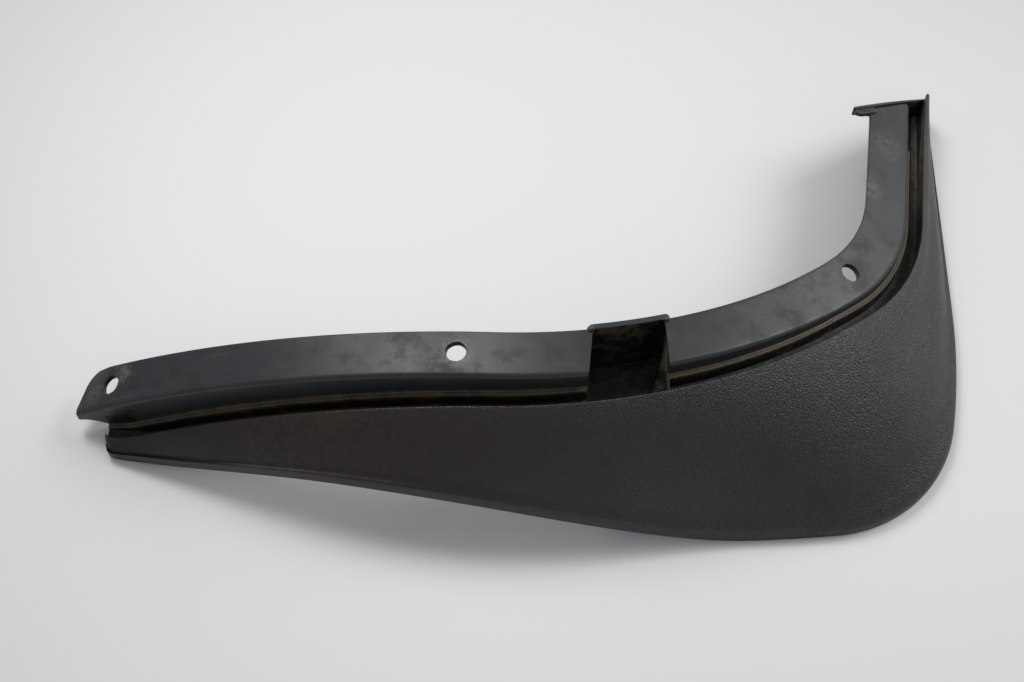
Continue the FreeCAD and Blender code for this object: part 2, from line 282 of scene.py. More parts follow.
class Moulding:
    """The rules that give the mudguard's section at any place along its fold."""

    def __init__(self, sizes: Sizes) -> None:
        """Lays out the fold and the rim in plan.

        Args:
            sizes: Driving sizes of the moulding.
        """
        self.sizes = sizes
        self.ridge_across = sizes.ledge_across + sizes.ledge_width + sizes.slot_width
        self.fold = PlanPath((-sizes.arch_start, 0.0), sizes.flange_heading, [
            (sizes.left_run, 0.0),
            arc_run(sizes.flap_bend_radius, sizes.flap_bend_angle),
            arc_run(sizes.arm_bend_radius, sizes.arm_bend_angle),
            (sizes.arm_run, 0.0),
        ])
        self.rim = PlanPath(self.fold.point(0.0, sizes.rim_start_across), sizes.rim_heading, [
            (sizes.rim_run, 0.0),
            arc_run(sizes.belly_radius, sizes.belly_angle),
            arc_run(sizes.corner_radius, sizes.corner_angle),
            arc_run(sizes.side_radius, sizes.side_angle),
            (sizes.side_run, 0.0),
        ])

    def arch(self, x: float) -> float:
        """Height of the flange's top face, on a wheel arch whose crown is at x = 0."""
        sizes = self.sizes
        return sizes.arch_height - sizes.arch_radius + math.sqrt(sizes.arch_radius ** 2 - x ** 2)

    def top(self, along: float, across: float) -> float:
        """Height of the flange's face, or of its run-on, at one place."""
        return self.arch(self.fold.point(along, across)[0])

    def rim_height(self, along: float, across: float) -> float:
        """Height of the rim's lower edge, which lifts off the table along the left run."""
        sizes = self.sizes
        x = self.fold.point(along, across)[0] + sizes.arch_start - sizes.rim_rise_start
        share = x / sizes.rim_rise_length
        if share <= 0.0 or share >= 1.0:
            return 0.0
        return sizes.rim_rise * math.sin(math.pi * share) ** sizes.rise_power

    def rim_across(self, along: float) -> float:
        """Distance from the fold out to the rim, square to the fold."""
        (x, y), angle = self.fold.at(along)
        low = -self.sizes.rim_start_across
        high = self.rim.length
        while high - low > SOLVE_LIMIT:
            middle = (low + high) / 2
            rim_x, rim_y = self.rim.point(middle)
            if (rim_x - x) * math.cos(angle) + (rim_y - y) * math.sin(angle) > 0:
                high = middle
            else:
                low = middle
        return (rim_x - x) * math.sin(angle) - (rim_y - y) * math.cos(angle) - self.sizes.rim_inset

    def ridge_top(self, along: float) -> float:
        """Height of the ridge, which drops below the flange towards the left tip."""
        sizes = self.sizes
        share = max(0.0, 1.0 - along / sizes.ridge_level_at)
        sunk = self.top(along, self.ridge_across) - sizes.ridge_drop * share ** sizes.ridge_power
        foot = self.rim_height(along, self.rim_across(along))
        return soft_max(sunk, foot + sizes.ridge_min_height, sizes.wall)

    def point_height(self, along: float) -> float:
        """How far the ridge rises towards its point at the arm's end."""
        sizes = self.sizes
        share = max(0.0, 1.0 - (sizes.end_at - along) / sizes.point_run)
        return sizes.point_rise * share * share

    def slot_floor(self, along: float) -> float:
        """Height of the slot's floor, kept clear of the table by its wall and a gap."""
        sizes = self.sizes
        sunk = self.ridge_top(along) - sizes.slot_depth
        return soft_max(sunk, sizes.floor_gap + sizes.wall, sizes.wall / 4)

    def ledge_height(self, along: float) -> float:
        """Height of the ledge beside the slot, which stops short of the arm's end."""
        sizes = self.sizes
        floor = self.slot_floor(along)
        if along > sizes.end_at - sizes.ledge_stop:
            return floor + sizes.edge_round
        sunk = self.ridge_top(along) - sizes.ledge_drop
        return soft_max(sunk, floor + sizes.wall / 2, sizes.wall / 4)

    def place(self, along: float, across: float, height: float) -> Vector:
        """A point of the section at one station, in space."""
        x, y = self.fold.point(along, across)
        return Vector((x, y, height))


@dataclass
class Corner:
    """One corner of a section: its place, its rounding and the zone of the stretch after it."""

    across: float
    height: float
    radius: float
    zone: Zone
    steps: int = 4
    fill: int = 2


@dataclass
class Spot:
    """One point of a finished section with its value on the strip map's second axis."""

    across: float
    height: float
    strip: float


def rounded(corners: list[Corner]) -> list[Spot]:
    """Rounds the corners of a closed section and fills its straight stretches.

    Args:
        corners: The section's corners in order.

    Returns:
        The points of the rounded section, as many for every section with like corners.
    """
    ends: list[tuple[Vector, Vector, Vector]] = []
    count = len(corners)
    places = [Vector((corner.across, corner.height)) for corner in corners]
    for number, corner in enumerate(corners):
        here = places[number]
        back = places[number - 1] - here
        ahead = places[(number + 1) % count] - here
        share = LIP_SHARE if corner.zone is Zone.LIP else CORNER_SHARE
        before = min(corner.radius, CORNER_SHARE * back.length)
        after = min(corner.radius, share * ahead.length)
        if corner.zone is not Zone.LIP:
            before = after = min(before, after)
        ends.append((here + back.normalized() * before, here, here + ahead.normalized() * after))
    spots: list[Spot] = []
    for number, corner in enumerate(corners):
        begin, middle, end = ends[number]
        before = corners[number - 1].zone
        after = corner.zone
        for step in range(corner.steps + 1):
            share = step / corner.steps
            point = begin.lerp(middle, share).lerp(middle.lerp(end, share), share)
            strip = before.end if share < 0.5 else after.begin
            spots.append(Spot(point.x, point.y, strip))
        following = ends[(number + 1) % count][0]
        for step in range(1, corner.fill):
            share = step / corner.fill
            point = end.lerp(following, share)
            strip = after.begin + (after.end - after.begin) * share
            spots.append(Spot(point.x, point.y, strip))
    return spots


class ShowFace:
    """The sloped outer face at one station, from the ridge to the rolled rim."""

    STEPS = (0.0, 0.12, 0.25, 0.38, 0.5, 0.62, 0.74, 0.85)

    def __init__(self, mould: Moulding, along: float) -> None:
        """Works out the face's outer and inner corners.

        Args:
            mould: The section rules.
            along: Distance along the fold.
        """
        sizes = mould.sizes
        self.width = mould.rim_across(along)
        self.foot = mould.rim_height(along, self.width)
        self.ridge = mould.ridge_top(along) + mould.point_height(along)
        self.lip = min(sizes.rim_lip, (self.ridge - self.foot) / 3)
        start = Vector((mould.ridge_across + sizes.ridge_radius, self.ridge))
        end = Vector((self.width, self.foot + self.lip))
        chord = end - start
        self.outer = []
        bend = min(1.0, max(0.0, (along - sizes.valley_from) / sizes.valley_length))
        valley = sizes.valley_depth * math.sin(math.pi * bend) ** 2
        for step in self.STEPS:
            bulge = 4 * sizes.crown * step * (1 - step)
            dip = valley * math.sin(math.pi * min(1.0, step / sizes.valley_share)) ** 2
            side = Vector((-chord.y, chord.x))
            self.outer.append(start + chord * step + side * bulge - side.normalized() * dip)
        self.end = end
        normal = Vector((chord.y, -chord.x)).normalized()
        limit = self.width - sizes.wall
        self.inner = []
        for point in self.outer[1:]:
            inset = point + normal * sizes.wall
            self.inner.append(Vector((min(inset.x, limit), max(inset.y, self.foot + sizes.wall / 2))))


def section(mould: Moulding, along: float) -> list[Spot]:
    """The closed section of the moulding, one wall thick from flange to rim.

    Args:
        mould: The section rules.
        along: Distance along the fold.

    Returns:
        The rounded section's points.
    """
    sizes = mould.sizes
    wall = sizes.wall
    show = ShowFace(mould, along)
    floor = mould.slot_floor(along)
    ledge = mould.ledge_height(along)
    foot_in = sizes.ledge_across
    foot_out = foot_in + sizes.ledge_width
    flange_in = -sizes.flange_width
    small = sizes.edge_round
    under = floor - wall

    def level(across: float) -> float:
        return mould.top(along, across)

    brace = min(ledge - wall, level(0.0) - wall * 2)
    joint = min(mould.ridge_across + wall, show.inner[0].x)
    corners = [
        Corner(flange_in, level(flange_in), small, Zone.FLANGE, 4, 12),
        Corner(foot_in, level(foot_in), sizes.fold_radius, Zone.WALL, 8, 5),
        Corner(foot_in, ledge, small, Zone.LEDGE, 3, 2),
        Corner(foot_out, ledge, small, Zone.SLOT_SIDE, 3, 4),
        Corner(foot_out, floor, small, Zone.SLOT_FLOOR, 3, 3),
        Corner(mould.ridge_across, floor, small, Zone.RIDGE_SIDE, 3, 4),
        Corner(mould.ridge_across, show.ridge, sizes.ridge_radius, Zone.SHOW, 6, 1),
    ]
    for point in show.outer[1:]:
        corners.append(Corner(point.x, point.y, FULL_ROUND, Zone.SHOW, 2, 1))
    roll = show.foot + show.lip * sizes.rim_roll_lips
    corners.append(Corner(show.width, roll, sizes.rim_roll, Zone.LIP, 8, 1))
    corners.append(Corner(show.width, show.foot, small, Zone.UNDER, 3, 1))
    corners.append(Corner(show.width - wall, show.foot, small, Zone.UNDER, 2, 1))
    for point in reversed(show.inner):
        corners.append(Corner(point.x, point.y, FULL_ROUND, Zone.UNDER, 2, 1))
    corners += [
        Corner(joint - wall / 2, under, small, Zone.UNDER, 2, 2),
        Corner(foot_out - wall, under, small, Zone.UNDER, 2, 2),
        Corner(foot_out - wall, brace, small, Zone.UNDER, 2, 1),
        Corner(foot_in - wall, brace, small, Zone.UNDER, 2, 3),
        Corner(foot_in - wall, level(foot_in - wall) - wall, small, Zone.UNDER, 2, 6),
        Corner(flange_in, level(flange_in) - wall, small, Zone.UNDER, 3, 1),
    ]
    return rounded(corners)


def tongue_section(mould: Moulding, along: float) -> list[Spot]:
    """Section of the flange at the left tip, where it runs on past the channel.

    Args:
        mould: The section rules.
        along: Distance along the fold.

    Returns:
        The rounded section's points.
    """
    sizes = mould.sizes
    wall = sizes.wall
    share = min(1.0, along / sizes.tip_cut_back)
    ledge = mould.ledge_height(max(along, sizes.tip_cut_back))
    root = mould.top(along, 0.0) - ledge + sizes.edge_round
    deep = sizes.tongue_depth + (root - sizes.tongue_depth) * share
    small = sizes.edge_round

    def below(across: float, depth: float, radius: float, zone: Zone, fill: int = 2) -> Corner:
        return Corner(across, mould.top(along, across) - depth, radius, zone, 4, fill)

    return rounded([
        below(-sizes.flange_width, 0.0, small, Zone.FLANGE, 12),
        below(sizes.ledge_across, 0.0, sizes.fold_radius, Zone.WALL, 6),
        below(sizes.ledge_across, deep, small, Zone.UNDER),
        below(sizes.ledge_across - wall, deep, small, Zone.UNDER),
        below(sizes.ledge_across - wall, wall, small, Zone.UNDER),
        below(-sizes.flange_width, wall, small, Zone.UNDER),
    ])


class Sweep:
    """Collects sections along the fold into one mesh with its strip map."""

    def __init__(self, name: str) -> None:
        """Starts an empty mesh.

        Args:
            name: Name of the mesh.
        """
        self.name = name
        self.mesh = bmesh.new()
        self.strip = self.mesh.loops.layers.uv.new(STRIP_MAP)

    def add(self, rings: list[Ring], cap_zone: float = Zone.END.value) -> None:
        """Joins rings of points into a closed skin with a cap at each end.

        Args:
            rings: Points with their strip map values, ring by ring.
            cap_zone: Strip map value of the caps.
        """
        verts = [[self.mesh.verts.new(point) for point, _ in ring] for ring in rings]
        count = len(rings[0])
        for row in range(len(rings) - 1):
            for column in range(count):
                after = (column + 1) % count
                quad = [(row, column), (row, after), (row + 1, after), (row + 1, column)]
                face = self.mesh.faces.new([verts[r][c] for r, c in reversed(quad)])
                lowest = min(rings[r][c][1][1] for r, c in quad)
                for loop, (r, c) in zip(face.loops, reversed(quad)):
                    along, zone = rings[r][c][1]
                    loop[self.strip].uv = (along, zone if zone - lowest < 2 else lowest)
        for row, order in ((0, 1), (-1, -1)):
            cap = self.mesh.faces.new(verts[row][::order])
            for loop in cap.loops:
                loop[self.strip].uv = (rings[row][0][1][0], cap_zone)

    def finish(self, shift: Vector) -> bpy.types.Object:
        """Writes the mesh to a new object.

        Args:
            shift: Moves the mesh into the part's frame.

        Returns:
            The object, linked to the scene.
        """
        bmesh.ops.translate(self.mesh, verts=self.mesh.verts, vec=shift)
        bmesh.ops.recalc_face_normals(self.mesh, faces=self.mesh.faces)
        data = bpy.data.meshes.new(self.name)
        self.mesh.to_mesh(data)
        self.mesh.free()
        thing = bpy.data.objects.new(self.name, data)
        bpy.context.scene.collection.objects.link(thing)
        return thing


def marks(first: float, last: float, gap: float) -> list[float]:
    """Even distances from first to last, about one gap apart."""
    pieces = max(1, round((last - first) / gap))
    return [first + (last - first) * step / pieces for step in range(pieces + 1)]


class DrillShape:
    """Form of the screw holes, which are slightly out of round and eased at the top."""

    STEPS = 64
    PROFILE = ((-3.0, 1.0), (-0.2, 1.0), (0.04, 1.1), (0.8, 1.1))
    WAVES = 5
    WAVE_HEIGHT = 0.012
    RIPPLES = 11
    RIPPLE_HEIGHT = 0.008

    @classmethod
    def ragged(cls, angle: float, number: int) -> float:
        """Share of the radius at an angle, different for each hole."""
        wave = cls.WAVE_HEIGHT * math.sin(cls.WAVES * angle + number)
        ripple = cls.RIPPLE_HEIGHT * math.sin(cls.RIPPLES * angle)
        return 1.0 + wave + ripple


class WearKind(Enum):
    """How a worn spot differs from the plain plastic."""

    PALE = "pale"
    SMUDGE = "smudge"
    STAIN = "stain"


@dataclass(frozen=True)
class Wear:
    """One worn spot: its place from the fold, how far it reaches and how strong it is."""

    kind: WearKind
    along: float
    across: float
    outer: float
    strength: float
    inner: float = 0.0


class Mudguard:
    """Builds the mudguard's visible mesh."""

    def __init__(self, sizes: Sizes, mounts: list[dict]) -> None:
        """Works out where the rules' frame lies in the part's frame.

        Args:
            sizes: Driving sizes of the moulding.
            mounts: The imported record's mounts, which hold the screw holes' places.
        """
        self.sizes = sizes
        self.mould = Moulding(sizes)
        hole, outward = self.hole_frame(sizes.holes_at[0])
        mount = next(item for item in mounts if item["name"] == "left_hole")
        self.shift = Vector(mount["pos_m"]) + outward * (sizes.wall * outward.z / 2) - hole

    def hole_frame(self, along: float) -> tuple[Vector, Vector]:
        """Where a screw hole meets the flange's top face, and the way square to that face."""
        sizes = self.sizes
        x, y = self.mould.fold.point(along, -sizes.hole_inset)
        height = self.mould.arch(x)
        outward = Vector((x, 0.0, height - sizes.arch_height + sizes.arch_radius))
        return Vector((x, y, height)), outward.normalized()

    def ring(self, spots: list[Spot], along: float, slant: float, arm: bool = False) -> Ring:
        """Places a section in space.

        Args:
            spots: The section's points.
            along: Distance along the fold.
            slant: How far each metre across shifts a point along the fold.
            arm: Whether the ridge peaks and the flange's corner is round, as at the arm's end.

        Returns:
            Points with their strip map values.
        """
        sizes = self.sizes
        ring = []
        for spot in spots:
            peak = 0.0
            if arm and spot.across > self.mould.ridge_across - sizes.edge_round:
                peak = sizes.end_peak
            elif arm and spot.across < sizes.ledge_across + sizes.edge_round:
                turn = 1.0 + (spot.across - sizes.ledge_across) / sizes.flange_round
                turn = min(1.0, max(0.0, turn))
                peak = -sizes.flange_round * (1.0 - math.sqrt(1.0 - turn * turn))
            station = along + (spot.across + peak) * slant
            across = self.narrowed(spot.across, along, station)
            ring.append((self.mould.place(station, across, spot.height), (station, spot.strip)))
        return ring

    def narrowed(self, across: float, along: float, station: float) -> float:
        """Fits a point of the show face to the rim where a slanted section puts it.

        Args:
            across: The point's distance from the fold in its own section.
            along: The section's distance along the fold.
            station: Where along the fold the slant puts the point.

        Returns:
            The point's distance from the fold at its station.
        """
        ridge = self.mould.ridge_across
        if across <= ridge or station <= along:
            return across
        share = (self.mould.rim_across(station) - ridge) / (self.mould.rim_across(along) - ridge)
        return ridge + (across - ridge) * min(1.0, share)

    def moulding(self) -> bpy.types.Object:
        """Sweeps the channel, from behind the tongue to the slanted end of the arm."""
        sizes = self.sizes
        sweep = Sweep(NODE + "_moulding")
        rings = []
        tangent = math.tan(math.radians(sizes.end_slant))
        last = sizes.end_at - sizes.end_lip - sizes.end_groove
        for along in marks(sizes.tip_cut_back, sizes.tongue_end, sizes.station_gap):
            spots = section(self.mould, along)
            self.round_strip_end(spots, along)
            self.hide_flange(spots, along)
            rings.append(self.ring(spots, along, 0.0))
        for along in marks(sizes.tongue_end, last, sizes.station_gap):
            share = max(0.0, (along - last + sizes.end_ease) / sizes.end_ease)
            rings.append(self.ring(section(self.mould, along), along, tangent * share * share, True))
        sweep.add(rings)
        return sweep.finish(self.shift)

    def round_strip_end(self, spots: list[Spot], along: float) -> None:
        """Draws the show strip in near its left end, so that the end is round in plan.

        Args:
            spots: The section's points, which are moved.
            along: Distance along the fold.
        """
        sizes = self.sizes
        short = 1.0 - (along - sizes.tip_cut_back) / sizes.strip_round
        if short <= 0.0:
            return
        inset = sizes.strip_round * (1.0 - math.sqrt(1.0 - short * short))
        edge = self.mould.rim_across(along)
        inside = sizes.ledge_across + sizes.ledge_width
        for spot in spots:
            if spot.across > inside:
                spot.across -= inset * (spot.across - inside) / (edge - inside)

    def tongue(self) -> bpy.types.Object:
        """Sweeps the flange at the left tip, with a slanted end and rounded corners in plan."""
        sizes = self.sizes
        sweep = Sweep(NODE + "_tongue")
        rings = []
        span = sizes.flange_width + sizes.ledge_across
        tangent = math.tan(math.radians(sizes.tongue_slant))

        def inset(along: float, radius: float) -> float:
            short = max(0.0, 1.0 - along / radius)
            return radius * (1.0 - math.sqrt(1.0 - short * short))

        for along in marks(0.0, sizes.tongue_end, sizes.station_gap / 4):
            spots = tongue_section(self.mould, along)
            for spot in spots:
                share = (spot.across + sizes.flange_width) / span
                spot.across += inset(along, sizes.tongue_round_in) * (1.0 - share)
                spot.across -= inset(along, sizes.tongue_round_out) * share
            fade = max(0.0, 1.0 - along / sizes.tip_cut_back)
            rings.append(self.ring(spots, along, -tangent * fade))
        sweep.add(rings)
        return sweep.finish(self.shift)

    def hide_flange(self, spots: list[Spot], along: float) -> None:
        """Draws the channel's own flange inside the tongue's wall, as far as the tongue reaches.

        Args:
            spots: The section's points, which are moved.
            along: Distance along the fold.
        """
        sizes = self.sizes
        limit = self.mould.top(along, 0.0) - sizes.wall
        reach = sizes.ledge_across + sizes.edge_round / 10
        for spot in spots:
            if spot.across <= reach and spot.height > limit - sizes.wall:
                spot.across = min(sizes.ledge_across / 2, max(spot.across, 0.0))
                spot.height = min(spot.height, limit)

    def pocket_block(self) -> bpy.types.Object:
        """The pocket's walls, ending inside the walls that they join."""
        sizes = self.sizes
        wall = sizes.wall
        half = sizes.pocket_length / 2 + wall
        lean = -math.tan(math.radians(sizes.pocket_lean))
        sweep = Sweep("pocket_block")
        rings = []
        back = -sizes.flange_width
        rim_out = back - sizes.pocket_rim_half
        rim_in = back + sizes.pocket_rim_half
        brace = sizes.ledge_across - wall / 2
        post = sizes.ledge_across + sizes.ledge_width - wall / 2
        front = self.mould.ridge_across + sizes.pocket_front_wall
        for along in marks(sizes.pocket_at - half, sizes.pocket_at + half, sizes.station_gap):
            end = max(0.0, abs(along - sizes.pocket_at) - half + wall)
            dip = wall * (1.0 - math.sqrt(max(0.0, 1.0 - (end / wall) ** 2)))
            rim = self.mould.top(along, back) + sizes.pocket_rim_rise - dip
            flange = self.mould.top(along, 0.0) - wall / 2
            ledge = self.mould.ridge_top(along) - sizes.ledge_drop - wall / 2
            floor = self.mould.slot_floor(along) - wall / 2
            base = self.mould.top(along, 0.0) - sizes.pocket_depth - wall
            rim_line = [(rim_out, rim), (rim_in, rim)]
            hidden_line = [
                (rim_in, flange), (brace, flange), (brace, ledge), (post, ledge),
                (post, floor), (front, floor), (front, base), (rim_out, base),
            ]
            corners = [Corner(a, h, sizes.pocket_rim_round, Zone.FLANGE, 4, 1) for a, h in rim_line]
            corners += [Corner(a, h, sizes.edge_round / 4, Zone.UNDER, 4, 1) for a, h in hidden_line]
            rings.append(self.ring(rounded(corners), along, lean))
        sweep.add(rings)
        return sweep.finish(self.shift)

    def pocket_hollow(self) -> bpy.types.Object:
        """The pocket's inside, with rounded corners in plan and open to the slot."""
        sizes = self.sizes
        half = sizes.pocket_length / 2
        lean = math.tan(math.radians(sizes.pocket_lean))
        back = -sizes.flange_width + sizes.pocket_back_skin
        front = self.mould.ridge_across + sizes.pocket_front_bite
        base = self.mould.top(sizes.pocket_at, 0.0) - sizes.pocket_depth
        plan = [(back, -half), (back, half), (front, half), (front, -half)]
        outline = rounded([Corner(a, s, sizes.pocket_round, Zone.POCKET, 6, 14) for a, s in plan])
        sweep = Sweep("pocket_hollow")
        rings = []
        for height in (base, base + sizes.pocket_depth / 2, sizes.arch_height * 2):
            ring = []
            for spot in outline:
                along = sizes.pocket_at + spot.height - spot.across * lean
                ring.append((self.mould.place(along, spot.across, height), (along, Zone.POCKET.middle)))
            rings.append(ring)
        sweep.add(rings, Zone.POCKET.middle)
        return sweep.finish(self.shift)

    def pocket_web(self) -> bpy.types.Object:
        """The slanted web that stiffens the pocket's right wall."""
        sizes = self.sizes
        wall = sizes.wall
        lean = math.tan(math.radians(sizes.pocket_lean))
        end = sizes.pocket_at + sizes.pocket_length / 2 + wall / 4
        base = self.mould.top(sizes.pocket_at, 0.0) - sizes.pocket_depth - wall / 4
        back = -sizes.flange_width / 2
        front = self.mould.ridge_across - wall / 2
        sweep = Sweep("pocket_web")
        rings = []
        for across in marks(back, front, sizes.station_gap):
            share = (across - back) / (front - back)
            wall_at = end - across * lean
            foot = wall_at - wall - sizes.web_foot * share
            high = self.mould.top(wall_at, 0.0) - wall - sizes.web_drop * share
            outline = [(wall_at, high), (wall_at, base), (foot, base), (wall_at - wall / 2, high)]
            ring = []
            for spot in rounded([Corner(s, h, sizes.edge_round, Zone.POCKET, 3, 1) for s, h in outline]):
                place = self.mould.place(spot.across, across, spot.height)
                ring.append((place, (spot.across, Zone.POCKET.middle)))
            rings.append(ring)
        sweep.add(rings, Zone.POCKET.middle)
        return sweep.finish(self.shift)

    def end_lip(self) -> bpy.types.Object:
        """The thin upright lip that closes the arm's end, and the tab at its inner side."""
        sizes = self.sizes
        stretch = 1 / math.cos(math.radians(sizes.end_slant))
        root = -sizes.flange_width * stretch
        tip = root - sizes.tab_reach * stretch
        last = (self.mould.ridge_across + sizes.ridge_radius) * stretch
        lip_depth = (sizes.wall * 2, sizes.end_wall_depth)
        tab_depth = (sizes.wall, sizes.wall)
        sweep = Sweep("end_lip")
        sweep.add(self.end_slab(tip, last, sizes.end_lip, lip_depth, sizes.end_rise))
        sweep.add(self.end_slab(tip, root + sizes.edge_round, sizes.tab_width, tab_depth, -sizes.end_rise))
        return sweep.finish(self.shift)

    def end_slab(self, begin: float, end: float, width: float, depth: Pair, rise: float) -> list[Ring]:
        """An upright slab along the arm's slanted end, with a round tip.

        Args:
            begin: Where the tip lies along the end line, from the fold.
            end: Where the slab stops along the end line.
            width: The slab's thickness, which is also the tip's rounding.
            depth: The slab's depth at the tip and where it stops.
            rise: How far the slab stands above the wheel arch.

        Returns:
            The slab's rings.
        """
        sizes = self.sizes
        blunt = 0.02
        (x, y), angle = self.mould.fold.at(sizes.end_at)
        slant = angle - math.pi / 2 + math.radians(sizes.end_slant)
        along = Vector((math.cos(slant), math.sin(slant), 0.0))
        outward = Vector((-along.y, along.x, 0.0))
        middle = width / 2
        rings = []
        for mark in marks(begin, end, sizes.station_gap / 3):
            share = min(1.0, (mark - begin) / width)
            reach = middle * math.sqrt(max(blunt, 1.0 - (1.0 - share) ** 2))
            place = Vector((x, y, 0.0)) + along * mark
            top = self.mould.arch(place.x) + rise
            portion = (mark - begin) / (end - begin)
            low = max(top - depth[0] - (depth[1] - depth[0]) * portion, sizes.floor_gap)
            near = middle - reach
            far = middle + reach
            outline = [(near, top), (far, top), (far, low), (near, low)]
            ring = []
            for spot in rounded([Corner(a, h, sizes.edge_round, Zone.FLANGE, 4, 1) for a, h in outline]):
                point = place - outward * spot.across + Vector((0.0, 0.0, spot.height))
                ring.append((point, (sizes.end_at, spot.strip)))
            rings.append(ring)
        return rings

    def drills(self) -> list[bpy.types.Object]:
        """Round cutters for the screw holes, each square to the flange where it stands."""
        sizes = self.sizes
        cutters = []
        for number, along in enumerate(sizes.holes_at):
            place, outward = self.hole_frame(along)
            turn = Vector((0.0, 0.0, 1.0)).rotation_difference(outward).to_matrix()
            rings = []
            for depth, wide in DrillShape.PROFILE:
                ring = []
                for step in range(DrillShape.STEPS):
                    angle = 2 * math.pi * step / DrillShape.STEPS
                    radius = sizes.hole_radius * wide * DrillShape.ragged(angle, number)
                    flat = Vector((math.cos(angle), math.sin(angle), 0.0)) * radius
                    lift = Vector((0.0, 0.0, depth * sizes.wall))
                    ring.append((place + turn @ (flat + lift), (along, Zone.WALL.middle)))
                rings.append(ring)
            sweep = Sweep(f"drill_{number}")
            sweep.add(rings)
            cutters.append(sweep.finish(self.shift))
        return cutters

    def wear(self) -> list[tuple[Wear, Vector]]:
        """Worn spots, each with its place on the face that carries it."""
        sizes = self.sizes
        spots = [
            Wear(WearKind.PALE, along=0.020, across=-0.013, outer=0.0065, strength=0.60),
            Wear(WearKind.PALE, along=0.008, across=-0.006, outer=0.0060, strength=0.40),
            Wear(WearKind.PALE, sizes.holes_at[1], -sizes.hole_inset, 0.0085, 0.75, sizes.hole_radius),
            Wear(WearKind.SMUDGE, along=0.338, across=-0.0115, outer=0.0080, strength=0.95),
            Wear(WearKind.SMUDGE, along=0.318, across=-0.0085, outer=0.0110, strength=0.90),
            Wear(WearKind.PALE, along=0.405, across=-0.016, outer=0.0070, strength=0.50),
            Wear(WearKind.PALE, along=0.435, across=-0.009, outer=0.0110, strength=0.30),
            Wear(WearKind.PALE, along=0.458, across=-0.015, outer=0.0080, strength=0.35),
            Wear(WearKind.STAIN, along=0.095, across=0.018, outer=0.0360, strength=0.80),
            Wear(WearKind.STAIN, along=0.135, across=0.022, outer=0.0360, strength=0.80),
            Wear(WearKind.STAIN, along=0.180, across=0.026, outer=0.0300, strength=0.50),
        ]
        worn = []
        for spot in spots:
            height = self.mould.top(spot.along, spot.across)
            if spot.kind is WearKind.STAIN:
                height = self.mould.ridge_top(spot.along)
            worn.append((spot, self.mould.place(spot.along, spot.across, height) + self.shift))
        return worn

    def build(self) -> bpy.types.Object:
        """Joins and cuts the pieces of the moulding.

        Returns:
            The finished mudguard as one object.
        """
        piece = self.moulding()
        tongue = self.tongue()
        apply_boolean(piece, self.pocket_block(), "UNION")
        apply_boolean(piece, self.pocket_hollow(), "DIFFERENCE")
        left, *others = self.drills()
        apply_boolean(tongue, left, "DIFFERENCE")
        for drill in others:
            apply_boolean(piece, drill, "DIFFERENCE")
        join(piece, tongue)
        join(piece, self.pocket_web())
        join(piece, self.end_lip())
        data = piece.data
        data.shade_smooth()
        data.set_sharp_from_angle(angle=math.radians(self.sizes.sharp_angle))
        piece.name = NODE + "_looks"
        return piece


def join(piece: bpy.types.Object, other: bpy.types.Object) -> None:
    """Adds another object's mesh to a piece and removes the other object.

    Args:
        piece: The object that grows.
        other: The object that is used up.
    """
    mesh = bmesh.new()
    mesh.from_mesh(piece.data)
    mesh.from_mesh(other.data)
    mesh.to_mesh(piece.data)
    mesh.free()
    spare = other.data
    bpy.data.objects.remove(other)
    bpy.data.meshes.remove(spare)


def apply_boolean(piece: bpy.types.Object, tool: bpy.types.Object, operation: str) -> None:
    """Joins a tool to a piece, or cuts it away, and removes the tool.

    Args:
        piece: The object that changes.
        tool: The other solid.
        operation: UNION or DIFFERENCE.
    """
    cut = piece.modifiers.new(operation.lower(), "BOOLEAN")
    cut.operation = operation
    cut.solver = "EXACT"
    cut.object = tool
    bpy.context.view_layer.update()
    shown = piece.evaluated_get(bpy.context.evaluated_depsgraph_get())
    data = bpy.data.meshes.new_from_object(shown)
    piece.modifiers.remove(cut)
    old = piece.data
    piece.data = data
    bpy.data.meshes.remove(old)
    spare = tool.data
    bpy.data.objects.remove(tool)
    bpy.data.meshes.remove(spare)


@dataclass(frozen=True)
class Noise:
    """One noise pattern."""

    scale: float
    detail: float
    rough: float = 0.5


@dataclass(frozen=True)
class Band:
    """A stretch of the strip map's second axis, with soft ends."""

    low: float
    high: float
    soft: float


